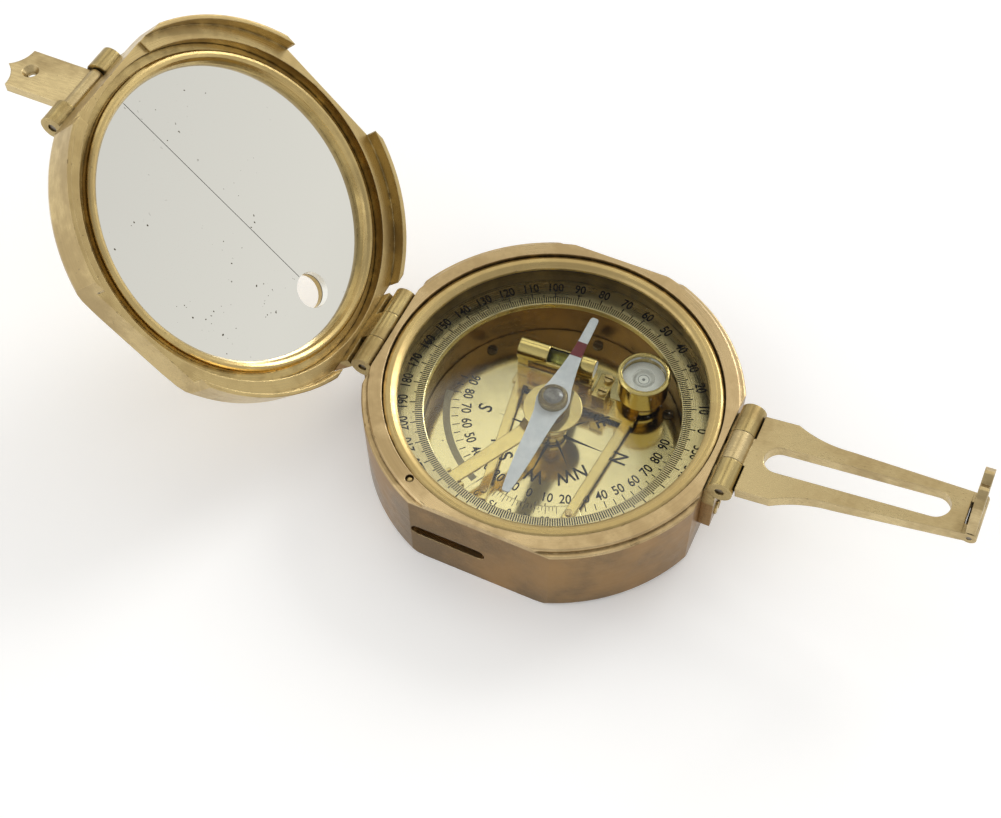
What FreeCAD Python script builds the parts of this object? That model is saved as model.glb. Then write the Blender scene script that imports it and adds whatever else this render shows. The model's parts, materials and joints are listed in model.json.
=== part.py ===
import FreeCAD, Part
import math
import os

# Pocket transit (geology compass) in millimetres. Origin: centre of the case back.
# +Z is the case axis, +X runs from the lid hinge to the sight arm hinge.

V = FreeCAD.Vector
X_AXIS = V(1, 0, 0)
Y_AXIS = V(0, 1, 0)
Z_AXIS = V(0, 0, 1)

# Driving dimensions of the case.
CASE_R = 38.1
RIM_R = 37.0
FLAT = 35.2
LEDGE_Z = 19.0
RIM_Z = 20.0
FLOOR_Z = 1.0
DIAL_Z = 2.1
DIAL_TOP = 2.6
RING_SEAT_Z = 11.2
RING_TOP = 12.6
GLASS_SEAT_Z = 16.9
BACK_RECESS_R = 30.0
DIAL_BORE_R = 27.0
RING_BORE_R = 33.0
BEZEL_BORE_R = 34.0
RUNNING_GAP = 0.05
DIAL_SCREW_ANGLES = (35.0, 90.0, 145.0)

# Hinges of the lid and of the sight arm.
LID_AXIS_X = -37.7
LID_AXIS_Z = 17.2
ARM_AXIS_X = 38.3
ARM_AXIS_Z = 20.9
KNUCKLE_R = 2.5
PIN_R = 0.9
MID_KNUCKLE = 3.3
HINGE_HALF = 10.0
LEAF_THICK = 2.5
LEAF_HALF = 9.6
SCREW_SINK = 0.8

# Poses of the moving parts as modelled.
LID_RAISED = 46.3
ARM_RAISED = 9.0
TIP_ANGLE = 86.0
RING_TURN = 12.0
NEEDLE_TURN = 90.5

# Lid.
LID_MID = -LID_AXIS_X
LID_LIP = -1.9
LID_LAND = -5.0
LID_FLOOR = -10.3
LID_BACK = -11.6
MIRROR_FACE = -8.2
MIRROR_BACK = -10.0
ARM_NOTCH = -5.7
WINDOW_U = 15.0
WINDOW_R = 3.75
PEEP_U = 73.2
PEEP_W = -15.5

# Sight arm.
ARM_LOW = -1.45
ARM_HIGH = 0.85
ARM_END = 43.7
TIP_U = 45.2
TIP_W = -0.3

# Clinometer, needle and lifter.
FRAME_Z0 = 3.7
FRAME_Z1 = 4.7
POST_R = 1.3
HUB_R = 3.0
HUB_BORE_R = 1.9
FLANGE_R = 2.6
LIFT_PIN = V(-16.3, -30.9, 0)
LIFT_PIN_R = 0.75
LIFTER_R = 24.9
LEVER_Z0 = 9.7
LEVER_Z1 = 10.2
LIFTER_PIVOT_Z = 9.2
LIFTER_PIN_R = 0.35
NEEDLE_Z = 14.55
TUBE_CENTRE = V(-4.0, 11.7, 12.0)
TUBE_TURN = 3.5
TUBE_HALF = 8.2
CUP = V(13.9, 14.7, 0)
CUP_R = 5.2
CUP_BORE = 4.5
BASE_TOP = 10.9
LEVEL_SCREWS = ((7.1, 12.5), (7.1, 9.0))


def cyl(r, z0, z1, x=0.0, y=0.0):
    return Part.makeCylinder(r, z1 - z0, V(x, y, z0))


def ring(r0, r1, z0, z1):
    return cyl(r1, z0, z1).cut(cyl(r0, z0 - 1, z1 + 1))


def box(x0, x1, y0, y1, z0, z1):
    return Part.makeBox(x1 - x0, y1 - y0, z1 - z0, V(x0, y0, z0))


def rod(centre, direction, r, half):
    """A cylinder of the given half length centred on a point."""
    unit = V(direction).normalize()
    return Part.makeCylinder(r, 2 * half, centre - unit * half, unit)


def cross_rod(r, y0, y1, x, z):
    return Part.makeCylinder(r, y1 - y0, V(x, y0, z), Y_AXIS)


def turned(profile, x=0.0):
    """A solid of revolution about the vertical through (x, 0) from (radius, z) points."""
    points = [V(x + r, 0, z) for r, z in profile]
    face = Part.Face(Part.makePolygon(points + points[:1]))
    return face.revolve(V(x, 0, 0), Z_AXIS, 360)


def plate(points, z0, z1):
    """A flat plate from plan points (x, y)."""
    outline = [V(x, y, z0) for x, y in points]
    return Part.Face(Part.makePolygon(outline + outline[:1])).extrude(V(0, 0, z1 - z0))


def strip(a, b, width_a, width_b, z0, z1):
    """A straight tapered bar between two plan points."""
    along = (b - a).normalize()
    side = V(-along.y, along.x, 0)
    corners = [a + side * width_a / 2, b + side * width_b / 2]
    corners += [b - side * width_b / 2, a - side * width_a / 2]
    return plate([(p.x, p.y) for p in corners], z0, z1)


def stadium(u0, u1, half, w0, w1):
    """A slot-shaped solid along X with round ends."""
    bar = box(u0 + half, u1 - half, -half, half, w0, w1)
    return bar.fuse([cyl(half, w0, w1, u0 + half), cyl(half, w0, w1, u1 - half)])


def turn(shape, angle):
    done = shape.copy()
    done.rotate(V(0, 0, 0), Z_AXIS, angle)
    return done


def placed(shape, origin, x_dir, z_dir):
    """Carries a shape from local axes to the place and direction given."""
    y_dir = z_dir.cross(x_dir)
    m = FreeCAD.Matrix(
        x_dir.x, y_dir.x, z_dir.x, origin.x,
        x_dir.y, y_dir.y, z_dir.y, origin.y,
        x_dir.z, y_dir.z, z_dir.z, origin.z,
        0, 0, 0, 1,
    )
    return shape.transformed(m, True)


def in_plane(angle):
    """Unit vectors along and square to a line in the XZ plane, at an angle above +X."""
    a = math.radians(angle)
    return V(math.cos(a), 0, math.sin(a)), V(-math.sin(a), 0, math.cos(a))


def joined(first, *others):
    return first.fuse(list(others)).removeSplitter()


def group(shapes):
    return Part.makeCompound(shapes)


def slotted_screw(head_r, head_h, shank_r, shank):
    """A screw along Z: head above the origin, shank below, with a driver slot."""
    body = cyl(head_r, 0, head_h).fuse(cyl(shank_r, -shank, 0))
    slot = box(-head_r - 1, head_r + 1, -0.2 * head_r, 0.2 * head_r, 0.55 * head_h, head_h + 1)
    return body.cut(slot)


def square_bound(shape, z0, z1, x=0.0):
    """Cuts the four flats of the case and the lid."""
    return shape.common(box(x - FLAT, x + FLAT, -FLAT, FLAT, z0, z1))


# ---- case ----

def clamp_slot():
    """The tripod clamp groove in a side flat, cut from the -Y side."""
    depth = 3.2
    half = 1.5
    mid_z = 9.1
    first, last = -13.0, -0.3
    cut = box(first, last, -FLAT - 5, -FLAT + depth, mid_z - half, mid_z + half)
    ends = [
        Part.makeCylinder(half, depth + 5, V(x, -FLAT - 5, mid_z), Y_AXIS)
        for x in (first, last)
    ]
    return cut.fuse(ends)


def leaf_screw_places(side):
    return [V(side * FLAT, y, 9.8) for y in (-6.0, 6.0)]


def lever_slot():
    """Room in the case wall, under the azimuth ring, for the outer end of the lifter lever."""
    outward = V(LIFT_PIN).normalize()
    return strip(outward * 26.0, outward * 36.3, 4.4, 3.6, LEVER_Z0 - 0.9, RING_SEAT_Z)


def case_body():
    outer = turned([
        (0, 0), (CASE_R - 1.0, 0), (CASE_R - 0.3, 0.3), (CASE_R, 1.0), (CASE_R, LEDGE_Z - 0.25),
        (CASE_R - 0.25, LEDGE_Z), (RIM_R, LEDGE_Z), (RIM_R, RIM_Z - 0.3), (RIM_R - 0.3, RIM_Z), (0, RIM_Z),
    ])
    case = square_bound(outer, -1, RIM_Z + 1)
    cuts = [
        cyl(BACK_RECESS_R, -1, FLOOR_Z),
        cyl(DIAL_BORE_R, DIAL_Z, RIM_Z),
        cyl(RING_BORE_R, RING_SEAT_Z, RIM_Z),
        cyl(BEZEL_BORE_R, GLASS_SEAT_Z, RIM_Z + 1),
        cyl(1.6 + RUNNING_GAP, 0, DIAL_Z + 1),
        clamp_slot(),
        turn(clamp_slot(), 180),
        lever_slot(),
        cyl(LIFT_PIN_R + 0.1, LEVER_Z1, RIM_Z + 1, LIFT_PIN.x, LIFT_PIN.y),
    ]
    for side in (-1, 1):
        for p in leaf_screw_places(side):
            cuts.append(rod(p, X_AXIS, 1.0, 4.0))
    for angle in DIAL_SCREW_ANGLES:
        p = dial_screw_place(angle)
        cuts.append(cyl(0.6, FLOOR_Z + 0.3, DIAL_Z + 1, p.x, p.y))
    return case.cut(cuts)


def dial_screw_place(angle):
    a = math.radians(angle)
    return V(24.6 * math.cos(a), 24.6 * math.sin(a), 0)


def dial_plate():
    disc = cyl(DIAL_BORE_R - 0.1, DIAL_Z, DIAL_TOP).cut(cyl(1.9, 0, 5))
    holes = []
    for angle in DIAL_SCREW_ANGLES:
        p = dial_screw_place(angle)
        holes.append(cyl(0.6, 0, 5, p.x, p.y))
    return disc.cut(holes)


def dial_screws():
    screws = []
    for angle in DIAL_SCREW_ANGLES:
        s = slotted_screw(1.1, 0.45, 0.6, 1.1)
        s.translate(dial_screw_place(angle) + V(0, 0, DIAL_TOP))
        screws.append(s)
    return group(screws)


def azimuth_ring():
    outer = RING_BORE_R - RUNNING_GAP
    return turned([
        (26.0, RING_SEAT_Z), (outer, RING_SEAT_Z), (outer, RING_TOP),
        (26.15, RING_TOP), (26.0, RING_TOP - 0.15),
    ])


def spacer_ring():
    return ring(32.2, RING_BORE_R, RING_TOP + RUNNING_GAP, 16.6)


def glass_seal():
    return ring(31.6, RING_BORE_R, 16.6, GLASS_SEAT_Z)


def dial_glass():
    return cyl(33.8, GLASS_SEAT_Z, 18.2)


def bezel_ring():
    edge = BEZEL_BORE_R - 0.05
    return turned([
        (31.0, 18.2), (edge, 18.2), (edge, 18.9), (edge - 0.25, 19.25), (33.1, 19.45),
        (32.3, 19.4), (31.6, 19.1), (31.1, 18.75),
    ])


# ---- hinges on the case ----

def case_leaf(axis_x, axis_z):
    """Leaf and two outer knuckles on the +X flat."""
    parts = []
    for y0, y1 in ((-HINGE_HALF, -MID_KNUCKLE - 0.1), (MID_KNUCKLE + 0.1, HINGE_HALF)):
        low, high = max(y0, -LEAF_HALF), min(y1, LEAF_HALF)
        parts.append(cross_rod(KNUCKLE_R, y0, y1, axis_x, axis_z))
        parts.append(box(FLAT + 0.1, axis_x, low, high, axis_z - 2.95, axis_z - 1.5))
    leaf = box(FLAT, FLAT + LEAF_THICK, -LEAF_HALF, LEAF_HALF, 7.0, axis_z - 2.9)
    leaf = joined(leaf, *parts)
    leaf = leaf.cut(cross_rod(PIN_R, -11, 11, axis_x, axis_z))
    for p in leaf_screw_places(1):
        leaf = leaf.cut(rod(p, X_AXIS, 1.0, 4.0))
        leaf = leaf.cut(rod(p + V(LEAF_THICK, 0, 0), X_AXIS, 1.95, SCREW_SINK))
    return leaf


def hinge_pin(axis_x, axis_z):
    return cross_rod(PIN_R, -HINGE_HALF + 0.4, HINGE_HALF - 0.4, axis_x, axis_z)


def leaf_screws():
    screws = []
    for p in leaf_screw_places(1):
        s = slotted_screw(1.9, 1.2, 1.0, 5.0)
        screws.append(placed(s, p + V(LEAF_THICK - SCREW_SINK, 0, 0), Z_AXIS, X_AXIS))
    return group(screws)


# ---- lid: local x runs from the hinge, local z is the mirror side's normal ----

def lid_frame(shape):
    along, square = in_plane(180 - LID_RAISED)
    return placed(shape, V(LID_AXIS_X, 0, LID_AXIS_Z), along, square * -1)


def lid_window(w0, w1):
    return cyl(WINDOW_R, w0, w1, WINDOW_U)


def lid_shell():
    outer = turned([
        (0, LID_BACK), (CASE_R - 2.0, LID_BACK), (CASE_R - 0.9, LID_BACK + 0.35),
        (CASE_R - 0.3, LID_BACK + 1.0), (CASE_R, LID_BACK + 2.0), (CASE_R, LID_LIP), (0, LID_LIP),
    ], LID_MID)
    shell = square_bound(outer, LID_BACK - 1, 1, LID_MID)
    cuts = [
        cyl(37.25, LID_LAND, 1, LID_MID),
        cyl(34.3, LID_FLOOR, 1, LID_MID),
        box(LID_MID + 32.0, LID_MID + 37.0, -10.6, 10.6, ARM_NOTCH, 1),
        lid_window(LID_BACK - 1, 0),
    ]
    return shell.cut(cuts)


def lid_leaf():
    flat = LID_MID - FLAT
    leaf = box(0.6, flat, -9.5, 9.5, -9.0, -2.9)
    neck = box(0, flat, -MID_KNUCKLE, MID_KNUCKLE, -3.2, 0)
    knuckle = cross_rod(KNUCKLE_R, -MID_KNUCKLE, MID_KNUCKLE, 0, 0)
    leaf = joined(leaf, neck, knuckle)
    return leaf.cut(cross_rod(PIN_R + RUNNING_GAP, -5, 5, 0, 0))


def mirror_pad():
    return cyl(33.2, LID_FLOOR, MIRROR_BACK, LID_MID).cut(lid_window(-12, 0))


def lid_mirror():
    return cyl(33.4, MIRROR_BACK, MIRROR_FACE, LID_MID).cut(lid_window(-12, 0))


def mirror_ring():
    """A bead on a thin flange; the flange floors a groove between the bead and the lid's wall."""
    flange = MIRROR_FACE + 0.5
    return turned([
        (29.9, MIRROR_FACE), (34.25, MIRROR_FACE), (34.25, flange), (32.5, flange), (32.5, -6.4),
        (32.3, -5.85), (31.9, -5.55), (31.4, -5.5), (30.8, -5.8), (30.3, -6.5), (30.0, -7.4),
    ], LID_MID)


def peep_bracket():
    """Base on the lid's back with two barrels that carry the peep sight's pin."""
    edge = LID_MID + FLAT
    lugs = []
    for y0, y1 in ((-10.5, -5.3), (5.3, 10.5)):
        lugs.append(cross_rod(KNUCKLE_R, y0, y1, PEEP_U, PEEP_W))
        lugs.append(box(PEEP_U - KNUCKLE_R, edge, y0, y1, PEEP_W, LID_BACK))
    base = box(edge - 8.0, edge, -10.5, 10.5, LID_BACK - 0.9, LID_BACK)
    bracket = joined(base, *lugs)
    return bracket.cut(cross_rod(PIN_R, -12, 12, PEEP_U, PEEP_W))


def peep_pin():
    return cross_rod(PIN_R, -10.2, 10.2, PEEP_U, PEEP_W)


# ---- peep sight: local x runs from its hinge to its point ----

def peep_frame(shape):
    along, square = in_plane(180 - LID_RAISED)
    origin = V(LID_AXIS_X, 0, LID_AXIS_Z) + along * PEEP_U - square * PEEP_W
    return placed(shape, origin, X_AXIS * -1, Z_AXIS)


def peep_sight():
    half = 5.0
    thick = 0.9
    shoulder = 14.4
    point = 17.0
    eye = 11.9
    sides = [
        Part.LineSegment(V(0, -half, -thick), V(shoulder, -half, -thick)),
        Part.Arc(V(shoulder, -half, -thick), V(shoulder + 0.8, -1.9, -thick), V(point, 0, -thick)),
        Part.Arc(V(point, 0, -thick), V(shoulder + 0.8, 1.9, -thick), V(shoulder, half, -thick)),
        Part.LineSegment(V(shoulder, half, -thick), V(0, half, -thick)),
        Part.LineSegment(V(0, half, -thick), V(0, -half, -thick)),
    ]
    outline = Part.Wire([s.toShape() for s in sides])
    blade = Part.Face(outline).extrude(V(0, 0, 2 * thick))
    blade = joined(blade, cross_rod(1.6, -half, half, 0, 0))
    cuts = [
        cross_rod(PIN_R + RUNNING_GAP, -7, 7, 0, 0),
        cyl(0.8, -5, 5, eye),
        Part.makeCone(0.8, 1.7, 1.2, V(eye, 0, thick - 1.19)),
    ]
    return blade.cut(cuts)


# ---- sight arm: local x runs from its hinge to its tip, local z is up ----

def arm_frame(shape):
    along, square = in_plane(ARM_RAISED)
    return placed(shape, V(ARM_AXIS_X, 0, ARM_AXIS_Z), along, square)


def arm_outline():
    """Root, concave taper and straight tip of the sight arm, as plan edges."""
    root, waist, tip = 9.0, 6.2, 4.7
    start = 2.7
    edges = []
    for side in (-1, 1):
        a, b, c = V(9.4, side * root, 0), V(20.5, side * waist, 0), V(ARM_END, side * tip, 0)
        edges.append(Part.LineSegment(V(start, side * root, 0), a).toShape())
        edges.append(Part.Arc(a, V(14.2, side * (waist + 0.85), 0), b).toShape())
        edges.append(Part.LineSegment(b, c).toShape())
    edges.append(Part.LineSegment(V(start, -root, 0), V(start, root, 0)).toShape())
    edges.append(Part.LineSegment(V(ARM_END, -tip, 0), V(ARM_END, tip, 0)).toShape())
    return Part.Wire(Part.__sortEdges__(edges))


def sight_arm():
    face = Part.Face(arm_outline())
    face.translate(V(0, 0, ARM_LOW))
    arm = face.extrude(V(0, 0, ARM_HIGH - ARM_LOW))
    arm = arm.cut(stadium(5.5, 40.7, 2.95, -5, 5))
    adds = [
        cross_rod(KNUCKLE_R, -MID_KNUCKLE, MID_KNUCKLE, 0, 0),
        box(0, 3.5, -MID_KNUCKLE, MID_KNUCKLE, ARM_LOW, ARM_HIGH),
    ]
    for y0, y1 in ((-4.7, -2.5), (2.5, 4.7)):
        adds.append(cross_rod(1.35, y0, y1, TIP_U, TIP_W))
        adds.append(box(ARM_END - 1, TIP_U, y0, y1, TIP_W - 1.1, TIP_W + 1.1))
    arm = joined(arm, *adds)
    cuts = [
        cross_rod(PIN_R + RUNNING_GAP, -5, 5, 0, 0),
        cross_rod(0.5, -6, 6, TIP_U, TIP_W),
    ]
    return arm.cut(cuts)


def tip_pin():
    return cross_rod(0.5, -4.6, 4.6, TIP_U, TIP_W)


def tip_frame(shape):
    along, square = in_plane(ARM_RAISED)
    origin = V(ARM_AXIS_X, 0, ARM_AXIS_Z) + along * TIP_U + square * TIP_W
    x_dir, z_dir = in_plane(ARM_RAISED + TIP_ANGLE)
    return placed(shape, origin, x_dir, z_dir)


def tip_sight():
    half = 4.65
    thick = 0.9
    top = 12.2
    blade = plate([
        (1.6, -half), (9.6, -half), (11.2, -3.6), (top, -2.2), (top, -1.5), (11.0, 0),
        (top, 1.5), (top, 2.2), (11.2, 3.6), (9.6, half), (1.6, half),
    ], -thick, thick)
    adds = [
        cross_rod(1.35, -2.4, 2.4, 0, 0),
        box(0, 2.5, -2.4, 2.4, -thick, thick),
    ]
    blade = joined(blade, *adds)
    cuts = [cross_rod(0.5 + RUNNING_GAP, -4, 4, 0, 0), stadium(3.2, 9.2, 0.9, -3, 3)]
    return blade.cut(cuts)


# ---- clinometer: everything on the central spindle ----

def spindle():
    post = turned([
        (0, 0.25), (1.6, 0.25), (1.6, 2.75), (FLANGE_R, 2.75), (FLANGE_R, FRAME_Z0),
        (HUB_BORE_R, FRAME_Z0), (HUB_BORE_R, FRAME_Z1), (FLANGE_R, FRAME_Z1), (FLANGE_R, 5.5), (POST_R, 6.4), (POST_R, 12.6), (0, 12.6),
    ])
    return post.cut([cyl(0.6, 10.4, 13), cyl(0.8, 0, 2.2)])


def spring_washer():
    return ring(1.65, FLANGE_R - 0.1, DIAL_TOP, 2.75)


def clinometer_frame():
    z0, z1 = FRAME_Z0, FRAME_Z1
    pieces = [
        cyl(HUB_R, z0, z1),
        strip(V(-0.6, 2, 0), V(-0.6, 11, 0), 3.8, 3.8, z0, z1),
        strip(V(-12.4, 9.6, 0), V(14.9, 9.6, 0), 4.4, 4.4, z0, z1),
        strip(V(-11.2, 10.5, 0), V(-6.1, -21.4, 0), 1.9, 1.9, z0, z1),
        strip(V(13.7, 10.0, 0), V(11.1, -18.8, 0), 2.0, 2.0, z0, z1),
        cyl(4.0, z0, z1, CUP.x, CUP.y),
    ]
    frame = joined(pieces[0], *pieces[1:])
    return frame.cut(cyl(HUB_BORE_R, 0, 10))


def vernier_plate():
    """The arc that reads the clinometer scale, under the free ends of the two bars."""
    arc = ring(18.2, 23.8, 3.1, FRAME_Z0)
    reach = 40.0
    a, b = math.radians(-117.0), math.radians(-50.0)
    points = [(0, 0), (reach * math.cos(a), reach * math.sin(a)), (0, -reach * 1.6)]
    points += [(reach * math.cos(b), reach * math.sin(b))]
    return arc.common(plate(points, 0, 10))


def vernier_screws():
    screws = []
    for x, y in ((-6.5, -19.3), (11.2, -17.3)):
        s = cyl(0.75, FRAME_Z1, FRAME_Z1 + 0.35, x, y)
        screws.append(s)
    return group(screws)


def along_tube(shape):
    """Carries a shape built along X at the origin to the tube level's place."""
    done = turn(shape, TUBE_TURN)
    done.translate(TUBE_CENTRE)
    return done


def tube_level_case():
    tube = rod(V(0, 0, 0), X_AXIS, 2.3, TUBE_HALF).cut(rod(V(0, 0, 0), X_AXIS, 1.75, 10))
    return along_tube(tube.cut(box(-1.8, 4.9, -3, 3, 0.2, 5)))


def tube_level_vial():
    return along_tube(rod(V(0, 0, 0), X_AXIS, 1.7, TUBE_HALF - 1.0))


def tube_level_plugs():
    ends = [rod(V(s * (TUBE_HALF - 0.5), 0, 0), X_AXIS, 1.75, 0.5) for s in (-1, 1)]
    return group([along_tube(e) for e in ends])


def tube_level_cradle():
    """A shelf on two feet, with a saddle under each end of the tube."""
    drop = TUBE_CENTRE.z
    shelf = box(-TUBE_HALF, TUBE_HALF, -1.9, 1.9, 7.2 - drop, 8.2 - drop)
    parts = []
    for x0, x1 in ((-TUBE_HALF, -TUBE_HALF + 2.2), (TUBE_HALF - 3.0, TUBE_HALF - 0.6)):
        parts.append(box(x0, x1, -1.6, 1.6, 8.2 - drop, 10.4 - drop))
        parts.append(box(x0, x1, -1.9, 1.9, FRAME_Z1 - drop, 7.2 - drop))
    cradle = joined(shelf, *parts).cut(rod(V(0, 0, 0), X_AXIS, 2.3, 12))
    return along_tube(cradle)


def at_cup(shape):
    shape.translate(CUP)
    return shape


def bulls_eye_cup():
    lip = CUP_R + 0.25
    return at_cup(turned([
        (0, 7.0), (CUP_R, 7.0), (CUP_R, 12.3), (lip, 12.5), (lip, 12.9), (5.0, 13.15),
        (CUP_BORE, 13.15), (CUP_BORE, 8.0), (0, 8.0),
    ]))


def bulls_eye_base():
    return at_cup(cyl(CUP_BORE - 0.05, 8.0, BASE_TOP))


def bulls_eye_fluid():
    """Spirit under the lens, with the bubble's hollow at the top."""
    bubble = Part.makeSphere(2.6, V(0, 0, 13.9))
    return at_cup(cyl(CUP_BORE - 0.05, BASE_TOP, 12.0).cut(bubble))


def bulls_eye_lens():
    dome = Part.makeSphere(16.0, V(0, 0, -2.65))
    return at_cup(cyl(CUP_BORE - 0.05, 12.0, 14.0).common(dome))


def bulls_eye_bracket():
    return at_cup(cyl(3.4, FRAME_Z1, 7.0))


def level_bracket():
    post = box(5.2, 8.2, 8.0, 11.4, FRAME_Z1, 8.6)
    shelf = box(5.2, 8.2, 7.8, 13.7, 8.6, 9.4)
    holes = [cyl(0.55, 8.5, 10, x, y) for x, y in LEVEL_SCREWS]
    return joined(post, shelf).cut(holes)


def level_screws():
    screws = []
    for x, y in LEVEL_SCREWS:
        s = slotted_screw(0.95, 0.8, 0.55, 0.7)
        s.translate(V(x, y, 9.4))
        screws.append(s)
    return group(screws)


def clinometer_lever():
    hub = cyl(4.2, 0.25, 0.95)
    arm = strip(V(0, 0, 0), V(0, 24, 0), 6.0, 4.6, 0.25, 0.95)
    lever = joined(hub, arm, cyl(3.0, 0.25, 0.95, 0, 24))
    return lever.cut(cyl(1.6, 0, 2))


def lever_nut():
    """Flush nut with two spanner holes; its stem goes up into the spindle."""
    nut = cyl(2.8, 0, 0.25).fuse(cyl(0.8, 0.25, 2.0))
    return nut.cut([cyl(0.35, -1, 0.2, x) for x in (-1.7, 1.7)])


def pivot_point():
    return turned([(0, 10.4), (0.6, 10.4), (0.6, 14.0), (0.06, 15.55), (0, 15.55)])


# ---- needle ----

def needle():
    """A flat blade: a long slim north half and a broader south half, both pointed."""
    north = [
        (22.3, 0.45), (22.0, 0.8), (21.2, 0.9), (16.0, 1.0), (11.5, 1.3), (8.5, 1.65), (4.0, 2.4), (0.8, 3.3),
    ]
    south = [
        (-0.8, 3.3), (-4.0, 2.5), (-8.3, 2.1), (-15.0, 1.7), (-19.3, 1.3), (-22.2, 0.95), (-23.1, 0.8),
        (-23.4, 0.45),
    ]
    upper = north + south
    lower = [(x, -y) for x, y in reversed(upper)]
    blade = plate(upper + lower, NEEDLE_Z, NEEDLE_Z + 0.3)
    blade = blade.cut(cyl(2.4, NEEDLE_Z - 1, NEEDLE_Z + 1))
    return turn(blade, NEEDLE_TURN)


def needle_cap():
    return turned([
        (1.5, 13.0), (2.0, 13.0), (2.4, 13.3), (2.4, NEEDLE_Z + 0.3), (3.0, NEEDLE_Z + 0.3), (3.0, 15.9), (2.6, 16.3),
        (2.0, 16.3), (2.0, 15.7), (1.5, 15.7),
    ])


def needle_jewel():
    jewel = turned([(0, 15.7), (2.0, 15.7), (2.0, 16.2), (1.2, 16.6), (0, 16.65)])
    return jewel.cut(Part.makeCone(0.5, 0.0, 0.4, V(0, 0, 15.7)))


# ---- needle lifter ----

def lever_frame(shape):
    """Local x runs outward from the needle's axis along the lever."""
    return placed(shape, V(0, 0, 0), V(LIFT_PIN).normalize(), Z_AXIS)


def lifter_lever():
    """A cranked bar: its ring goes round the post, its far end lies under the lift pin."""
    reach = LIFT_PIN.Length + 0.9
    side = [
        (5.6, 11.6), (6.2, 11.6), (7.7, LEVER_Z0), (reach, LEVER_Z0),
        (reach, LEVER_Z1), (7.4, LEVER_Z1), (5.9, 12.1), (5.6, 12.1),
    ]
    outline = [V(x, -1.7, z) for x, z in side]
    blade = Part.Face(Part.makePolygon(outline + outline[:1])).extrude(V(0, 3.4, 0))
    blade = blade.common(strip(V(0, 0, 0), V(reach, 0, 0), 3.6, 2.4, 8, 13))
    disc = ring(1.8, 6.0, 11.6, 12.1)
    lug = cross_rod(0.8, -1.4, 1.4, LIFTER_R, LIFTER_PIVOT_Z)
    lever = joined(blade, disc, lug)
    hole = cross_rod(LIFTER_PIN_R + 0.03, -3, 3, LIFTER_R, LIFTER_PIVOT_Z)
    return lever_frame(lever.cut(hole))


def lifter_post():
    """A fork that stands on the dial plate, one ear each side of the lever."""
    foot = box(LIFTER_R - 0.7, LIFTER_R + 0.7, -2.4, 2.4, DIAL_TOP, DIAL_TOP + 0.8)
    ears = [
        box(LIFTER_R - 0.7, LIFTER_R + 0.7, y, y + 0.6, DIAL_TOP, LEVER_Z0 + 0.3)
        for y in (-2.4, 1.8)
    ]
    fork = joined(foot, *ears)
    return lever_frame(fork.cut(cross_rod(LIFTER_PIN_R, -3, 3, LIFTER_R, LIFTER_PIVOT_Z)))


def lifter_pin():
    return lever_frame(cross_rod(LIFTER_PIN_R, -2.4, 2.4, LIFTER_R, LIFTER_PIVOT_Z))


def lift_pin():
    r, foot = LIFT_PIN_R, LEVER_Z1 + 0.02
    pin = turned([(0, foot), (r, foot), (r, 19.3), (r - 0.15, 19.55), (r - 0.4, 19.7), (0, 19.75)])
    pin.translate(LIFT_PIN)
    return pin


def nodes():
    return {
        "case_body": case_body(),
        "dial_plate": dial_plate(),
        "dial_screws": dial_screws(),
        "azimuth_ring": turn(azimuth_ring(), RING_TURN),
        "spacer_ring": spacer_ring(),
        "glass_seal": glass_seal(),
        "dial_glass": dial_glass(),
        "bezel_ring": bezel_ring(),
        "lid_hinge_leaf": turn(case_leaf(-LID_AXIS_X, LID_AXIS_Z), 180),
        "lid_hinge_pin": hinge_pin(LID_AXIS_X, LID_AXIS_Z),
        "lid_leaf_screws": turn(leaf_screws(), 180),
        "arm_hinge_leaf": case_leaf(ARM_AXIS_X, ARM_AXIS_Z),
        "arm_hinge_pin": hinge_pin(ARM_AXIS_X, ARM_AXIS_Z),
        "arm_leaf_screws": leaf_screws(),
        "lid_shell": lid_frame(lid_shell()),
        "lid_knuckle": lid_frame(lid_leaf()),
        "mirror_pad": lid_frame(mirror_pad()),
        "lid_mirror": lid_frame(lid_mirror()),
        "mirror_ring": lid_frame(mirror_ring()),
        "peep_bracket": lid_frame(peep_bracket()),
        "peep_pin": lid_frame(peep_pin()),
        "peep_sight": peep_frame(peep_sight()),
        "sight_arm": arm_frame(sight_arm()),
        "tip_pin": arm_frame(tip_pin()),
        "tip_sight": tip_frame(tip_sight()),
        "spindle": spindle(),
        "spring_washer": spring_washer(),
        "clinometer_frame": clinometer_frame(),
        "vernier_plate": vernier_plate(),
        "vernier_screws": vernier_screws(),
        "tube_level_case": tube_level_case(),
        "tube_level_vial": tube_level_vial(),
        "tube_level_plugs": tube_level_plugs(),
        "tube_level_cradle": tube_level_cradle(),
        "bulls_eye_cup": bulls_eye_cup(),
        "bulls_eye_base": bulls_eye_base(),
        "bulls_eye_fluid": bulls_eye_fluid(),
        "bulls_eye_lens": bulls_eye_lens(),
        "bulls_eye_bracket": bulls_eye_bracket(),
        "level_bracket": level_bracket(),
        "level_screws": level_screws(),
        "clinometer_lever": clinometer_lever(),
        "lever_nut": lever_nut(),
        "pivot_point": pivot_point(),
        "needle": needle(),
        "needle_cap": needle_cap(),
        "needle_jewel": needle_jewel(),
        "lifter_lever": lifter_lever(),
        "lifter_post": lifter_post(),
        "lifter_pin": lifter_pin(),
        "lift_pin": lift_pin(),
    }


def main():
    os.makedirs("parts", exist_ok=True)
    for name, shape in nodes().items():
        solids = shape.Solids
        good = shape.isValid() and all(s.Volume > 0 for s in solids)
        print(f"{name:20s} solids {len(solids)} volume {shape.Volume:9.1f} {'ok' if good else 'BAD'}")
        shape.exportStep(f"parts/{name}.step")


main()
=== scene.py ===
import json
import math

import bpy
from mathutils import Matrix, Vector


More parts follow.
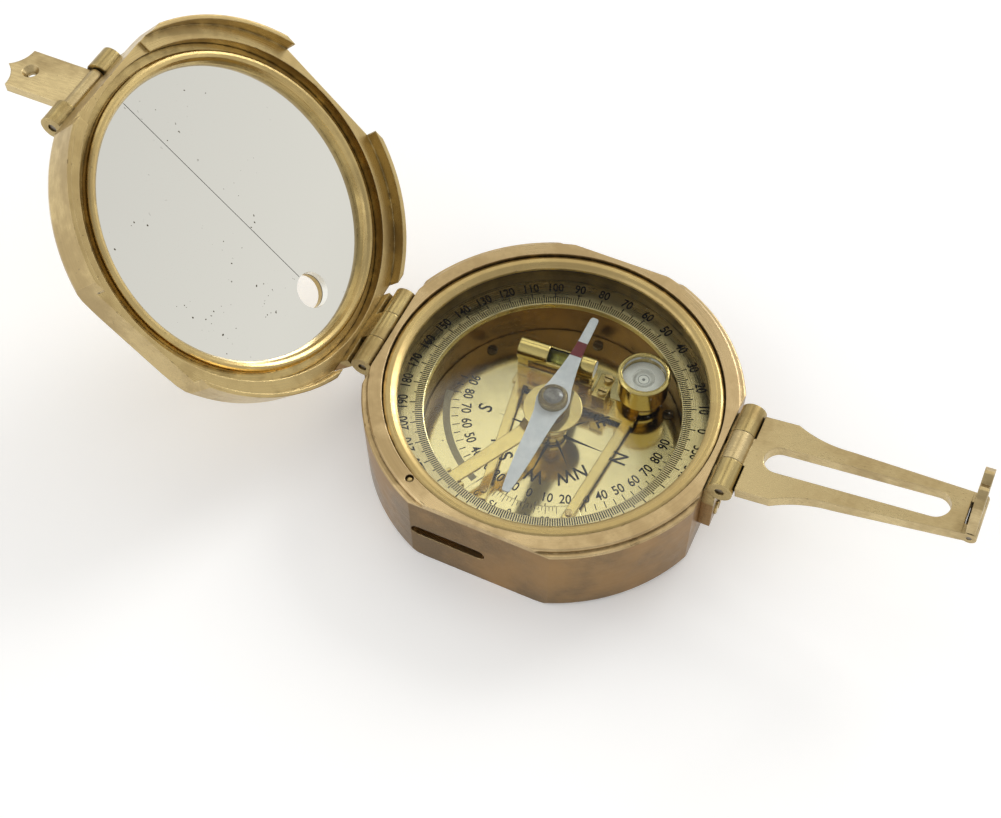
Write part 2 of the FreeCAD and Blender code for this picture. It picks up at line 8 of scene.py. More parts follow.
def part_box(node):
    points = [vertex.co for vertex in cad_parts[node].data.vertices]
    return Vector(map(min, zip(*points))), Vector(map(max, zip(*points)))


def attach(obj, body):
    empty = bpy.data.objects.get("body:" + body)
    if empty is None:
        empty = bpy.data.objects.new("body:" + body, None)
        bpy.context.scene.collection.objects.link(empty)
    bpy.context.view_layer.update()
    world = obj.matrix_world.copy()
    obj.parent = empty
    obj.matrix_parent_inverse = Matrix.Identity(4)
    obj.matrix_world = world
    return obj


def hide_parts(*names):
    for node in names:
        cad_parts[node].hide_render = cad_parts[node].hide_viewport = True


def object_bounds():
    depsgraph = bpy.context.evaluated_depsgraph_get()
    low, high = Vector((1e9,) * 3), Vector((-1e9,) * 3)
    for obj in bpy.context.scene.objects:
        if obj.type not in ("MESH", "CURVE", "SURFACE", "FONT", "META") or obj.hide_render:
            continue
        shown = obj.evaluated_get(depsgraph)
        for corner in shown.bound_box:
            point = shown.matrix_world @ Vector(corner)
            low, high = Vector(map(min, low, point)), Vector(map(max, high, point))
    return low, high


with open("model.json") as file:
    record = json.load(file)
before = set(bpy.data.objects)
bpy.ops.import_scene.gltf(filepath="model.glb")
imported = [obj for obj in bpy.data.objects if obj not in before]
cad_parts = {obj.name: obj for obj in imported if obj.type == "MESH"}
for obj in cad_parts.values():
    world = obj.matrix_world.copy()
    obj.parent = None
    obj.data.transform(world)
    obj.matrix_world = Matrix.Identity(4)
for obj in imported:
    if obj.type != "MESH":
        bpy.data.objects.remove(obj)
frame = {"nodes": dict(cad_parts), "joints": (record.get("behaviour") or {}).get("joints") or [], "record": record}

CAD_BOX = [list(c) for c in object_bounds()]
MM = 0.001
RECORD = frame["record"]
NODES = frame["nodes"]
JOINTS = {j["name"]: j for j in frame["joints"]}

SCENE = bpy.context.scene
SCENE.view_settings.view_transform = "Standard"


def local_axes(angle):
    """Unit vectors along and square to a line in the XZ plane, at an angle above +X."""
    a = math.radians(angle)
    return Vector((math.cos(a), 0, math.sin(a))), Vector((-math.sin(a), 0, math.cos(a)))


# The lid leans back at rest, and lies flat once its hinge has fallen to its lower limit.
LID_ORIGIN = Vector(JOINTS["lid_hinge"]["pos_m"])
LID_ANGLE = 180 + JOINTS["lid_hinge"]["range_deg"][0]
LID_ALONG, LID_SQUARE = local_axes(LID_ANGLE)
LID_NORMAL = -LID_SQUARE
LID_MID = -LID_ORIGIN.x


# ---- node trees ----

class Tree:
    """Short names for building the node tree of a material or a world."""

    def __init__(self, owner, output="OutputMaterial"):
        self.owner = owner
        owner.use_nodes = True
        self.nt = owner.node_tree
        self.nt.nodes.clear()
        self.out = self.node(output)

    def link(self, source, socket):
        self.nt.links.new(source, socket)

    def put(self, socket, value):
        if isinstance(value, bpy.types.NodeSocket):
            self.link(value, socket)
        elif isinstance(value, (tuple, list)) and len(value) == 3 and socket.type == "RGBA":
            socket.default_value = (*value, 1.0)
        else:
            socket.default_value = value

    def node(self, kind, **settings):
        n = self.nt.nodes.new("ShaderNode" + kind)
        for key, value in settings.items():
            setattr(n, key, value)
        return n

    def coords(self):
        return self.node("TexCoord").outputs["Object"]

    def math(self, op, a, b=0.0):
        n = self.node("Math", operation=op)
        for socket, value in zip(n.inputs, (a, b)):
            self.put(socket, value)
        return n.outputs[0]

    def times(self, a, b):
        return self.math("MULTIPLY", a, b)

    def length(self, a, b):
        return self.math("SQRT", self.math("ADD", self.times(a, a), self.times(b, b)))

    def vec(self, op, a, b):
        n = self.node("VectorMath", operation=op)
        self.put(n.inputs[0], a)
        self.put(n.inputs[1], b)
        return n.outputs[0]

    def dot(self, a, b):
        n = self.node("VectorMath", operation="DOT_PRODUCT")
        self.put(n.inputs[0], a)
        self.put(n.inputs[1], b)
        return n.outputs["Value"]

    def combine(self, x, y, z):
        n = self.node("CombineXYZ")
        for socket, value in zip(n.inputs, (x, y, z)):
            self.put(socket, value)
        return n.outputs[0]

    def split(self, vector):
        n = self.node("SeparateXYZ")
        self.put(n.inputs[0], vector)
        return n.outputs

    def noise(self, vector, scale, detail=3.0, rough=0.55):
        n = self.node("TexNoise")
        self.put(n.inputs["Vector"], vector)
        n.inputs["Scale"].default_value = scale
        n.inputs["Detail"].default_value = detail
        n.inputs["Roughness"].default_value = rough
        return n.outputs["Fac"]

    def remap(self, value, low, high, to_low=0.0, to_high=1.0):
        n = self.node("MapRange", interpolation_type="SMOOTHSTEP")
        for socket, v in zip(n.inputs, (value, low, high, to_low, to_high)):
            self.put(socket, v)
        return n.outputs[0]

    def mix(self, factor, a, b):
        n = self.node("Mix", data_type="RGBA")
        self.put(n.inputs[0], factor)
        self.put(n.inputs[6], a)
        self.put(n.inputs[7], b)
        return n.outputs[2]

    def bump(self, height, strength, distance, normal=None):
        n = self.node("Bump")
        n.inputs["Strength"].default_value = strength
        n.inputs["Distance"].default_value = distance
        self.put(n.inputs["Height"], height)
        if normal is not None:
            self.put(n.inputs["Normal"], normal)
        return n.outputs[0]

    def shader(self, **values):
        """A Principled shader; an underscore in a name stands for a space."""
        n = self.node("BsdfPrincipled")
        for key, value in values.items():
            self.put(n.inputs[key.replace("_", " ")], value)
        return n.outputs[0]

    def clear(self, colour):
        n = self.node("BsdfTransparent")
        self.put(n.inputs[0], tuple(colour))
        return n.outputs[0]

    def blend(self, factor, first, second):
        """Mixes two shaders."""
        n = self.node("MixShader")
        for socket, value in zip(n.inputs, (factor, first, second)):
            self.put(socket, value)
        return n.outputs[0]

    def finish(self, shader):
        self.link(shader, self.out.inputs["Surface"])
        return self.owner


def material_tree(name):
    return Tree(bpy.data.materials.new(name))


def scaled(colour, share):
    return tuple(c * share for c in colour)


# ---- materials; noise scales are in features per metre ----

CLOUDS = 55
MOTTLE = 420
NICKS = 330
SPECKS = 1500
BRUSHING = 900
RINGS = 9000
DUST = 1400
PINHOLES = 1300

EDGE_RADIUS = 0.35 * MM
# Creases within this reach are darkened by ambient occlusion: partly grime, partly painted shade.
CREVICE_REACH = 1.6 * MM
CREVICE_GRIME_AND_SHADE = (0.035, 0.024, 0.012)
NICK_DIRT = (0.030, 0.020, 0.010)

# Painted shade: the inside of the case, under the dial glass, is painted dark, as it lies in shade.
WELL_RADIUS = 32.8 * MM
WELL_FLOOR = 2.0 * MM
WELL_SHADE_DARK = (0.020, 0.019, 0.017)
WELL_SHADE_LIGHT = (0.050, 0.045, 0.039)

# Painted reflection: the case's upright sides are painted brown up to a height, for the dark brown surroundings
# they reflect.
SIDE_REFLECTION_BROWN = (0.34, 0.20, 0.078)
SIDE_REFLECTION_COVER = 0.88
CASE_REFLECTION_TOP = 18.5 * MM
HINGE_REFLECTION_TOP = 14.5 * MM
REFLECTION_FADE = 0.4 * MM

# Axes that pieces were turned about: a point on it, its direction, and a direction across it.
CASE_TURN = (Vector((0, 0, 0)), Vector((0, 0, 1)), Vector((1, 0, 0)))
LID_TURN = (LID_ORIGIN + LID_ALONG * LID_MID, LID_NORMAL, LID_ALONG)


def tool_marks(t, p, turned, brush):
    """Fine rings about the axis that a piece was turned on, or a grain that brush stretches."""
    if not turned:
        return t.noise(t.vec("MULTIPLY", p, scaled(brush, BRUSHING)), 1.0, 3, 0.6)
    centre, axis, across = turned
    rel = t.vec("SUBTRACT", p, tuple(centre))
    height = t.dot(rel, tuple(axis))
    u = t.dot(rel, tuple(across))
    v = t.dot(rel, tuple(axis.cross(across)))
    angle = t.math("ARCTAN2", v, u)
    rings = t.combine(t.times(t.length(u, v), RINGS), t.times(height, RINGS), t.times(angle, 1.6))
    return t.noise(rings, 1.0, 2, 0.6)


def darkened_well(t, p, colour, broad):
    # Painted shade: walls within the radius and above the floor are painted near black.
    x, y, z = t.split(p)
    within = t.math("LESS_THAN", t.length(x, y), WELL_RADIUS)
    shaded_well = t.times(within, t.math("GREATER_THAN", z, WELL_FLOOR))
    return t.mix(shaded_well, colour, t.mix(broad, WELL_SHADE_DARK, WELL_SHADE_LIGHT))


def browned_sides(t, p, colour, broad, top):
    # Painted reflection: upright faces below a height are painted brown, for the dark brown surroundings they
    # reflect.
    normal = t.node("TexCoord").outputs["Normal"]
    facing_up = t.math("ABSOLUTE", t.dot(normal, (0, 0, 1)))
    below = t.remap(t.split(p)["Z"], top, top + REFLECTION_FADE, 1.0, 0.0)
    upright = t.times(t.remap(facing_up, 0.45, 0.8, 1.0, 0.0), below)
    reflected_brown = t.mix(t.remap(broad, 0.35, 0.65), scaled(SIDE_REFLECTION_BROWN, 0.40), SIDE_REFLECTION_BROWN)
    return t.mix(t.times(upright, SIDE_REFLECTION_COVER), colour, reflected_brown)


def brass(name, base, tarnish, rough, turned=None, brush=(1, 1, 1), patches=0.5, grime_and_shade=0.8,
          wear=0.5, grain=0.12, specks=0.35, relief=1.0, inside=False, reflection_top=None):
    """Brass with tarnish patches, tool marks, dark specks and nicks, creases darkened with grime and painted
    shade, and bright worn edges; optionally with painted shade inside the case and a painted reflection on its
    upright sides.
    """
    t = material_tree(name)
    p = t.coords()
    broad = t.noise(p, CLOUDS, 4, 0.6)
    fine = t.noise(p, MOTTLE, 5, 0.65)
    patch = t.remap(t.math("ADD", broad, t.times(fine, 0.35)), 0.55, 0.85)
    marks = tool_marks(t, p, turned, brush)

    bevel = t.node("Bevel", samples=4)
    bevel.inputs["Radius"].default_value = EDGE_RADIUS
    rounded = bevel.outputs[0]
    bend = t.math("SUBTRACT", 1.0, t.dot(rounded, t.node("NewGeometry").outputs["Normal"]))
    ao = t.node("AmbientOcclusion", samples=4, only_local=False)
    ao.inputs["Distance"].default_value = CREVICE_REACH
    closed = t.math("SUBTRACT", 1.0, ao.outputs["AO"])
    # Grime and painted shade: darker where ambient occlusion finds creases.
    crevice_grime_and_shade = t.remap(t.times(closed, t.remap(fine, 0.25, 0.65, 0.5, 1.3)), 0.25, 0.9, 0.0, grime_and_shade)
    edge = t.times(t.remap(bend, 0.01, 0.12), t.remap(closed, 0.1, 0.45, wear, 0.0))
    dots = t.remap(t.noise(p, SPECKS, 2, 0.5), 0.70, 0.78, 0.0, specks)
    nicks = t.times(t.remap(t.noise(p, NICKS, 4, 0.7), 0.60, 0.66), t.remap(bend, 0.01, 0.06))

    colour = t.mix(t.times(patch, patches), base, tarnish)
    colour = t.mix(t.remap(marks, 0.3, 0.7, 0.0, grain), colour, scaled(tarnish, 0.55))
    colour = t.mix(edge, colour, tuple(min(1.0, c * 1.18 + 0.05) for c in base))
    colour = t.mix(dots, colour, scaled(tarnish, 0.3))
    colour = t.mix(t.times(nicks, 0.8), colour, NICK_DIRT)
    colour = t.mix(crevice_grime_and_shade, colour, CREVICE_GRIME_AND_SHADE)
    # Painted shade inside the case.
    if inside:
        colour = darkened_well(t, p, colour, broad)
    # Painted reflection on the upright sides.
    if reflection_top:
        colour = browned_sides(t, p, colour, broad, reflection_top)

    polished = relief < 0.2
    spread = 0.01 if polished else 0.06
    sheen = t.remap(marks, 0.25, 0.75, rough - spread, rough + spread)
    roughness = t.math("ADD", sheen, t.times(patch, 2 * spread))
    roughness = t.math("ADD", roughness, t.times(crevice_grime_and_shade, 0.3))
    normal = t.bump(marks, 0.10 * relief, 0.02 * MM, rounded)
    normal = t.bump(fine, 0.06 * relief, 0.05 * MM, normal)
    return t.finish(t.shader(Base_Color=colour, Roughness=roughness, Metallic=1.0, Normal=normal))


def plain(name, colour, rough, metallic=0.0, variation=0.08, scale=600, shine=0.5, glow=0.0):
    """An even finish with slight mottling."""
    t = material_tree(name)
    n = t.noise(t.coords(), scale, 4, 0.6)
    dark = scaled(colour, 1 - variation)
    light = tuple(min(1, c * (1 + variation)) for c in colour)
    s = t.shader(
        Base_Color=t.mix(t.remap(n, 0.3, 0.7), dark, light),
        Roughness=t.remap(n, 0.3, 0.7, rough * 0.85, rough * 1.15),
        Metallic=metallic,
        Specular_IOR_Level=shine,
        Emission_Color=(1, 1, 1),
        Emission_Strength=glow,
        Normal=t.bump(n, 0.05, 0.05 * MM),
    )
    return t.finish(s)


def glass(name, tint, ior, dust, pass_light=0.98):
    """Clear glass that lets light through to what is under it, with a little dust and smear."""
    t = material_tree(name)
    p = t.coords()
    smear = t.remap(t.noise(p, 90, 5, 0.7), 0.45, 0.8, 0.0, 0.05)
    pane = t.shader(Base_Color=tint, Roughness=smear, Transmission_Weight=1.0, IOR=ior)
    shadow = t.node("LightPath").outputs["Is Shadow Ray"]
    surface = t.blend(shadow, pane, t.clear(scaled(tint, pass_light)))
    haze = t.node("BsdfDiffuse")
    haze.inputs[0].default_value = (0.7, 0.68, 0.62, 1)
    grain = t.remap(t.noise(p, DUST, 3, 0.6), 0.66, 0.80, 0.0, dust)
    return t.finish(t.blend(grain, surface, haze.outputs[0]))


def film(name, tint, body=0.06):
    """Clear glass or spirit in a small part: light goes straight through, with a glossy surface."""
    t = material_tree(name)
    thick = t.shader(Base_Color=tint, Roughness=0.03, Transmission_Weight=1.0, IOR=1.1)
    shine = t.node("BsdfGlossy")
    shine.inputs["Roughness"].default_value = 0.03
    weight = t.node("LayerWeight")
    weight.inputs[0].default_value = 0.18
    inner = t.blend(body, t.clear(tint), thick)
    return t.finish(t.blend(weight.outputs["Fresnel"], inner, shine.outputs[0]))


def bubble_skin(name):
    """The bubble's edge: clear seen square on, grey and shiny where it turns away; the grey is painted shade for
    the dark ring that refraction gives there.
    """
    t = material_tree(name)
    edge = t.shader(Base_Color=(0.42, 0.42, 0.40), Roughness=0.12)
    weight = t.node("LayerWeight")
    weight.inputs[0].default_value = 0.30
    painted_rim_shade = t.remap(weight.outputs["Facing"], 0.30, 0.95, 0.0, 0.75)
    return t.finish(t.blend(painted_rim_shade, t.clear((0.97, 0.97, 0.96)), edge))


def mirror(name):
    """Silvered glass with pinholes in clusters and faint wipe marks."""
    t = material_tree(name)
    p = t.coords()
    pin = t.remap(t.noise(p, PINHOLES, 1, 0.4), 0.735, 0.765)
    cluster = t.remap(t.noise(p, 75, 2, 0.5), 0.50, 0.58)
    spots = t.times(pin, cluster)
    haze = t.remap(t.noise(p, 45, 4, 0.6), 0.4, 0.75, 0.012, 0.05)
    colour = t.mix(spots, (0.83, 0.825, 0.765), (0.10, 0.085, 0.06))
    roughness = t.math("ADD", haze, t.times(spots, 0.4))
    return t.finish(t.shader(Base_Color=colour, Roughness=roughness, Metallic=1.0))


# The needle points along this direction at rest, with a red band on that half.
NEEDLE_ANGLE = math.radians(90.5)
NEEDLE_AIM = (math.cos(NEEDLE_ANGLE), math.sin(NEEDLE_ANGLE), 0)
BAND_START = 11.7 * MM
BAND_END = 15.5 * MM


def needle_material(name):
    """White paint with a dark red band on the north half."""
    t = material_tree(name)
    p = t.coords()
    n = t.noise(p, 700, 4, 0.6)
    ragged = t.math("ADD", t.dot(p, NEEDLE_AIM), t.times(n, 0.06 * MM))
    band = t.times(t.math("GREATER_THAN", ragged, BAND_START), t.math("LESS_THAN", ragged, BAND_END))
    white = t.mix(t.remap(n, 0.3, 0.75), (0.47, 0.49, 0.50), (0.56, 0.57, 0.57))
    chip = t.remap(t.noise(p, 1900, 2, 0.5), 0.74, 0.78, 0.0, 0.7)
    colour = t.mix(chip, t.mix(band, white, (0.125, 0.010, 0.014)), (0.22, 0.18, 0.14))
    roughness = t.remap(n, 0.3, 0.7, 0.35, 0.5)
    normal = t.bump(n, 0.08, 0.03 * MM)
    return t.finish(t.shader(Base_Color=colour, Roughness=roughness, Metallic=0.0, Normal=normal))


PALE = (0.66, 0.50, 0.27)
GOLD = (0.66, 0.50, 0.215)
OLD = (0.24, 0.155, 0.06)

MATERIALS = {
    "case_brass": brass("case_brass", PALE, OLD, 0.27, CASE_TURN, specks=0.5, inside=True,
                        reflection_top=CASE_REFLECTION_TOP),
    "lid_brass": brass("lid_brass", (0.64, 0.49, 0.225), OLD, 0.24, LID_TURN, specks=0.6, grime_and_shade=0.95),
    "ring_brass": brass("ring_brass", (0.74, 0.63, 0.33), (0.36, 0.27, 0.12), 0.22, CASE_TURN,
                        patches=0.25, grime_and_shade=0.4, relief=0.3),
    "bezel_brass": brass("bezel_brass", GOLD, OLD, 0.25, CASE_TURN, patches=0.35),
    "dark_brass": brass("dark_brass", (0.22, 0.16, 0.08), (0.10, 0.07, 0.03), 0.42, CASE_TURN),
    "hinge_brass": brass("hinge_brass", (0.55, 0.43, 0.19), OLD, 0.22, brush=(6, 0.6, 6), patches=0.6,
                         specks=0.8, grime_and_shade=0.95, grain=0.2, reflection_top=HINGE_REFLECTION_TOP),
    "screw_brass": brass("screw_brass", GOLD, OLD, 0.22, patches=0.3),
    "sight_brass": brass("sight_brass", (0.64, 0.51, 0.27), OLD, 0.27, brush=(0.5, 5, 5), specks=0.3,
                         grain=0.18),
    "inner_brass": brass("inner_brass", (0.80, 0.64, 0.25), (0.42, 0.29, 0.09), 0.15, brush=(2, 2, 2),
                         patches=0.25, grime_and_shade=0.4, grain=0.06, specks=0.2, relief=0.1),
    "dial_face": brass("dial_face", (0.82, 0.71, 0.36), (0.50, 0.40, 0.18), 0.12, brush=(0.4, 4, 4),
                       patches=0.2, grime_and_shade=0.45, wear=0.1, grain=0.04, specks=0.7, relief=0.04),
    "steel": plain("steel", (0.45, 0.44, 0.42), 0.28, 1.0),
    "pin_steel": plain("pin_steel", (0.22, 0.19, 0.15), 0.35, 1.0),
    "clear_glass": glass("clear_glass", (0.96, 0.98, 0.97), 1.45, dust=0.25),
    "vial_glass": film("vial_glass", (0.90, 0.95, 0.86)),
    "level_spirit": film("level_spirit", (0.97, 0.98, 0.94)),
    "mirror_silver": mirror("mirror_silver"),
    "seal_rubber": plain("seal_rubber", (0.02, 0.018, 0.016), 0.6),
    "backing_card": plain("backing_card", (0.20, 0.17, 0.13), 0.85),
    "white_plaster": plain("white_plaster", (0.93, 0.93, 0.90), 0.5, variation=0.03),
    "needle_paint": needle_material("needle_paint"),
    "jewel_stone": plain("jewel_stone", (0.13, 0.12, 0.10), 0.16, variation=0.35, scale=900),
}

# Nodes whose finish differs from the rest of their material slot.
SPECIAL = {
    "mirror_ring": brass("lid_bezel_brass", GOLD, OLD, 0.17, LID_TURN, patches=0.35),
    "bulls_eye_lens": film("lens_clear", (0.995, 0.995, 0.985), 0.0),
    "needle_cap": brass("cap_brass", (0.40, 0.32, 0.14), OLD, 0.18, CASE_TURN, relief=0.3),
}

PRINT = plain("print_black", (0.010, 0.009, 0.009), 0.8, variation=0.3, scale=3000, shine=0.08)
GREY = plain("print_grey", (0.20, 0.20, 0.19), 0.5, variation=0.2, scale=2000)
BAND = plain("band_khaki", (0.30, 0.25, 0.13), 0.4, 0.4, variation=0.1, scale=1500)
BUBBLE = bubble_skin("bubble_skin")

for row in RECORD["subparts"]:
    slots = NODES[row["node"]].data.materials
    slots.clear()
    slots.append(SPECIAL.get(row["node"], MATERIALS[row["material_slot"]]))


# ---- printed marks, in millimetres ----

def polar(radius, angle, centre=(0, 0)):
    return centre[0] + radius * math.cos(angle), centre[1] + radius * math.sin(angle)


class Ink:
    """Collects flat faces and glyphs into one mesh."""

    def __init__(self):
        self.verts = []
        self.faces = []

    def add(self, verts, faces, matrix=Matrix.Identity(4)):
        start = len(self.verts)
        self.verts += [matrix @ Vector(v) for v in verts]
        self.faces += [tuple(i + start for i in f) for f in faces]

    def poly(self, points, z):
        self.add([(x, y, z) for x, y in points], [tuple(range(len(points)))])

    def tick(self, centre, angle, r0, r1, width, z):
        c, s = math.cos(angle), math.sin(angle)
        h = width / 2
        corners = ((r0, -h), (r1, -h), (r1, h), (r0, h))
        self.poly([(centre[0] + r * c - k * s, centre[1] + r * s + k * c) for r, k in corners], z)

    def arc(self, centre, r0, r1, a0, a1, z, steps=64):
        for i in range(steps):
            b0, b1 = (a0 + (a1 - a0) * k / steps for k in (i, i + 1))
            corners = ((r0, b0), (r1, b0), (r1, b1), (r0, b1))
            self.poly([polar(r, b, centre) for r, b in corners], z)

    def text(self, string, place, z, size, turn, stretch):
        verts, faces = glyphs(string)
        turned = Matrix.Translation((*place, z)) @ Matrix.Rotation(turn, 4, "Z")
        self.add(verts, faces, turned @ Matrix.Diagonal((size * stretch, size, 1, 1)))

    def piece(self, name, body, material, place=Matrix.Identity(4)):
        mesh = bpy.data.meshes.new(name)
        mesh.from_pydata([place @ (v * MM) for v in self.verts], [], self.faces)
        mesh.update()
        mesh.materials.append(material)
        o = bpy.data.objects.new(name, mesh)
        SCENE.collection.objects.link(o)
        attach(o, body)
        return o


GLYPHS = {}
GLYPH_SIZE = 1.4
GLYPH_WEIGHT = 0.022


def glyphs(string):
    """Outline faces of a string, centred, with capitals about one unit high."""
    if string not in GLYPHS:
        curve = bpy.data.curves.new("glyph", "FONT")
        curve.body = string
        curve.size = GLYPH_SIZE
        curve.align_x = "CENTER"
        curve.align_y = "CENTER"
        curve.resolution_u = 4
        curve.offset = GLYPH_WEIGHT
        o = bpy.data.objects.new("glyph", curve)
        SCENE.collection.objects.link(o)
        bpy.context.view_layer.update()
        mesh = bpy.data.meshes.new_from_object(o.evaluated_get(bpy.context.evaluated_depsgraph_get()))
        verts = [tuple(v.co) for v in mesh.vertices]
        mid = (min(v[1] for v in verts) + max(v[1] for v in verts)) / 2
        GLYPHS[string] = (
            [(x, y - mid, 0) for x, y, _ in verts],
            [tuple(f.vertices) for f in mesh.polygons],
        )
        bpy.data.meshes.remove(mesh)
        bpy.data.objects.remove(o)
        bpy.data.curves.remove(curve)
    return GLYPHS[string]


def print_height(node):
    """Just above a node's top face, in millimetres."""
    lift = 0.012
    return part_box(node)[1].z / MM + lift


CENTRE = (0, 0)
QUARTER = math.pi / 2
NUMERAL = 2.1


def ring_print():
    """Degrees all round the azimuth ring, with numerals every ten."""
    ink = Ink()
    top = print_height("azimuth_ring")
    zero = math.radians(12.6)
    for k in range(360):
        reach = 28.9 if k % 10 == 0 else 28.3 if k % 5 == 0 else 27.8
        ink.tick(CENTRE, zero + math.radians(k), 26.2, reach, 0.24, top)
    for k in range(0, 360, 10):
        a = zero + math.radians(k)
        ink.text(str(k), polar(30.35, a), top, NUMERAL, a - QUARTER, 0.8)
    ink.piece("ring_print", "azimuth", PRINT)


# The clinometer scale is an arc about its own centre on the dial, with its zero on the near side.
SCALE_MID = (0.9, 6.2)
SCALE_ZERO = math.radians(-88)


def clinometer_scale(ink, top):
    for k in range(-90, 91, 5):
        ink.tick(SCALE_MID, SCALE_ZERO + math.radians(k), 22.9 if k % 10 else 22.7, 24.3, 0.2, top)
    for k in range(-90, 91, 10):
        a = SCALE_ZERO + math.radians(k)
        ink.text(str(abs(k)), polar(21.2, a, SCALE_MID), top, NUMERAL, a + QUARTER, 0.85)


def compass_rose(ink, top):
    """Eight points, each a full half and a narrow half, inside their letters."""
    root = 1.4
    for k in range(8):
        a = math.radians(45 * k)
        c, s = math.cos(a), math.sin(a)
        reach, half = (12.2, 0.75) if k % 2 == 0 else (9.0, 0.6)
        foot, tip = (root * c, root * s), (reach * c, reach * s)
        ink.poly([(root * c - half * s, root * s + half * c), foot, tip], top)
        narrow = half * 0.25
        ink.poly([foot, (root * c + narrow * s, root * s - narrow * c), tip], top)
    ink.arc(CENTRE, 3.0, 3.25, 0, math.tau, top)
    for k, label in enumerate(("N", "NE", "E", "SE", "S", "SW", "W", "NW")):
        a = math.radians(45 * k + (4.5 if label == "W" else 0))
        radius = 15.2 if label in "NS" else 11.0 if label in "EW" else 10.9
        ink.text(label, polar(radius, a), top + 0.002, 3.0, a - QUARTER, 0.9)


def dial_print():
    top = print_height("dial_plate")
    ink = Ink()
    clinometer_scale(ink, top)
    compass_rose(ink, top)
    ink.piece("dial_print", "case", PRINT)
    band = Ink()
    first, last = (SCALE_ZERO - math.radians(a) for a in (80, 27))
    band.arc(SCALE_MID, 24.6, 26.1, first, last, top - 0.004)
    band.piece("dial_band", "case", BAND)


def vernier_print():
    """The vernier's short scale, with its zero at the clinometer's index."""
    ink = Ink()
    top = print_height("vernier_plate")
    zero = math.radians(-90)
    step = 2.2
    for k in range(-12, 13):
        ink.tick(CENTRE, zero + math.radians(k * step), 18.4, 20.0 if k % 3 == 0 else 19.3, 0.12, top)
    for k, label in ((-9, "30"), (0, "0"), (9, "30"), (-4.5, "15"), (4.5, "15")):
        a = zero + math.radians(k * step)
        ink.text(label, polar(21.4, a), top, 1.5, a - QUARTER, 0.9)
    ink.piece("vernier_print", "clinometer", PRINT)


ring_print()
dial_print()
vernier_print()


# ---- bull's eye level ----

# The bubble's section: radius, and height above the white base.
BUBBLE_PROFILE = (
    (0.02, 1.02), (1.2, 1.0), (1.9, 0.86), (2.25, 0.62), (2.3, 0.45), (2.1, 0.25), (1.6, 0.12), (1.5, 0.12),
)


def lathe(name, profile, centre, body, material, steps=64):
    """A smooth surface turned about the vertical through a point, from (radius, z) points."""
    ink = Ink()
    rows = len(profile)
    for k in range(steps):
        a = math.tau * k / steps
        ink.verts += [Vector((*polar(r, a, centre), z)) for r, z in profile]
    for k in range(steps):
        here, after = k * rows, (k + 1) % steps * rows
        ink.faces += [(here + i, after + i, after + i + 1, here + i + 1) for i in range(rows - 1)]
    o = ink.piece(name, body, material)
    for face in o.data.polygons:
        face.use_smooth = True
    return o


def bulls_eye():
    """The spirit's bubble, and the index ring and dot under it."""
    low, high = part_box("bulls_eye_base")
    mid = ((low.x + high.x) / 2 / MM, (low.y + high.y) / 2 / MM)
    top = high.z / MM
    index = Ink()
    index.arc(mid, 1.05, 1.2, 0, math.tau, top + 0.02)
    index.arc(mid, 0.02, 0.32, 0, math.tau, top + 0.02, 24)
    index.piece("bulls_eye_index", "clinometer", GREY)
    profile = [(r, top + z) for r, z in BUBBLE_PROFILE]
    bubble = lathe("bulls_eye_bubble", profile, mid, "clinometer", BUBBLE)
    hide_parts("bulls_eye_fluid")


bulls_eye()


# ---- sight line on the mirror ----

MIRROR_FACE = -8.2 * MM


def lid_matrix(height):
    """From (along, across, up) on the lid to the frame, at a height above the hinge's plane."""
    m = Matrix.Identity(4)
    m.col[0].xyz = LID_ALONG
    m.col[1].xyz = LID_NORMAL.cross(LID_ALONG)
    m.col[2].xyz = LID_NORMAL
    m.col[3].xyz = LID_ORIGIN + LID_NORMAL * height
    return m


def sight_line():
    """A thin line from the sight window to the mirror's far edge."""
    start, end, half = 18.9, 67.4, 0.06
    ink = Ink()
    ink.poly([(start, -half), (end, -half), (end, half), (start, half)], 0.012)
    ink.piece("sight_line", "lid", PRINT, lid_matrix(MIRROR_FACE))


sight_line()


# ---- floor, light and camera ----

def pale_floor():
    """A faintly glowing sheet just under the object."""
    side = 3.0
    gap = 0.02 * MM
    corners = [(-side, -side, 0), (side, -side, 0), (side, side, 0), (-side, side, 0)]
    mesh = bpy.data.meshes.new("floor")
    mesh.from_pydata(corners, [], [(0, 1, 2, 3)])
    mesh.materials.append(plain("floor_pale", (0.94, 0.94, 0.94), 0.9, variation=0.0, glow=0.16))
    floor = bpy.data.objects.new("floor", mesh)
    SCENE.collection.objects.link(floor)
    floor.location.z = CAD_BOX[0][2] - gap


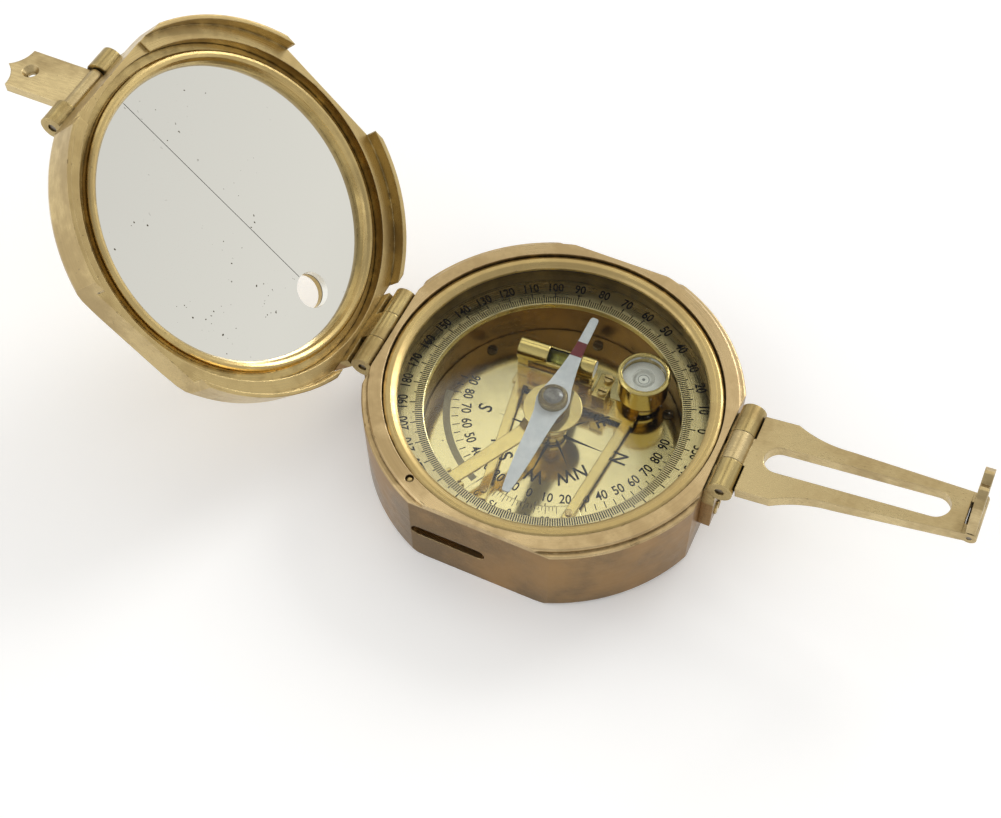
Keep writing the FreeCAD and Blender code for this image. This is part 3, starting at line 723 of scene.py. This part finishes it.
def studio_sky():
    """A soft grey surround, with a bright patch that holds a dark card and a small bright one."""
    world = bpy.data.worlds.new("studio")
    SCENE.world = world
    t = Tree(world, "OutputWorld")
    ray = t.node("TexCoord").outputs["Generated"]
    ramp = t.node("ValToRGB")
    t.link(t.split(ray)["Z"], ramp.inputs[0])
    level, overhead = ramp.color_ramp.elements
    level.position, overhead.position = 0.0, 1.0
    level.color = (0.62, 0.61, 0.58, 1)
    overhead.color = (0.42, 0.42, 0.43, 1)
    ramp.color_ramp.elements.new(0.35).color = (0.80, 0.79, 0.77, 1)

    def patch(direction, inner, outer, behind, colour):
        """A round patch about a direction, full inside one half angle and gone outside another."""
        near = t.dot(ray, tuple(Vector(direction).normalized()))
        inside = t.remap(near, math.cos(math.radians(outer)), math.cos(math.radians(inner)))
        return t.mix(inside, behind, colour)

    sky = patch((-0.22, 0.56, 0.80), 22, 34, ramp.outputs[0], (1.15, 1.12, 1.04))
    sky = patch((-0.215, 0.565, 0.80), 6.0, 8.5, sky, (0.05, 0.048, 0.045))
    sky = patch((-0.215, 0.462, 0.860), 4.6, 5.4, sky, (1.12, 1.10, 1.04))
    back = t.node("Background")
    t.link(sky, back.inputs["Color"])
    back.inputs["Strength"].default_value = 1.05
    t.finish(back.outputs[0])


def softbox(name, direction, distance, side, power):
    """A square light that faces the object."""
    light = bpy.data.lights.new(name, "AREA")
    light.shape = "RECTANGLE"
    light.size, light.size_y = side, side
    light.energy = power
    o = bpy.data.objects.new(name, light)
    d = Vector(direction).normalized()
    o.location = Vector((0, 0, 0.01)) + d * distance
    o.rotation_euler = d.to_track_quat("Z", "Y").to_euler()
    SCENE.collection.objects.link(o)


def photo_camera():
    """The camera at the photograph's viewing angle."""
    data = bpy.data.cameras.new("camera")
    data.sensor_width = 36.0
    data.lens = 55.043
    data.clip_start = 0.01
    azimuth, elevation, roll = (math.radians(a) for a in (25.58, 55.87, -0.88))
    distance = 323.7 * MM
    target = Vector((-13.08, 2.90, 0)) * MM
    level = math.cos(elevation)
    right = Vector((math.cos(azimuth), math.sin(azimuth), 0))
    backward = Vector((math.sin(azimuth) * level, -math.cos(azimuth) * level, math.sin(elevation)))
    up = backward.cross(right)
    place = Matrix.Identity(4)
    place.col[0].xyz = right * math.cos(roll) + up * math.sin(roll)
    place.col[1].xyz = up * math.cos(roll) - right * math.sin(roll)
    place.col[2].xyz = backward
    place.col[3].xyz = target + backward * distance
    camera = bpy.data.objects.new("camera", data)
    SCENE.collection.objects.link(camera)
    camera.matrix_world = place
    SCENE.camera = camera


pale_floor()
studio_sky()
softbox("key", (0.30, 0.80, 0.52), 1.3, 0.5, 5.5)
softbox("fill", (-0.9, -0.6, 0.75), 1.2, 0.9, 2.2)
photo_camera()
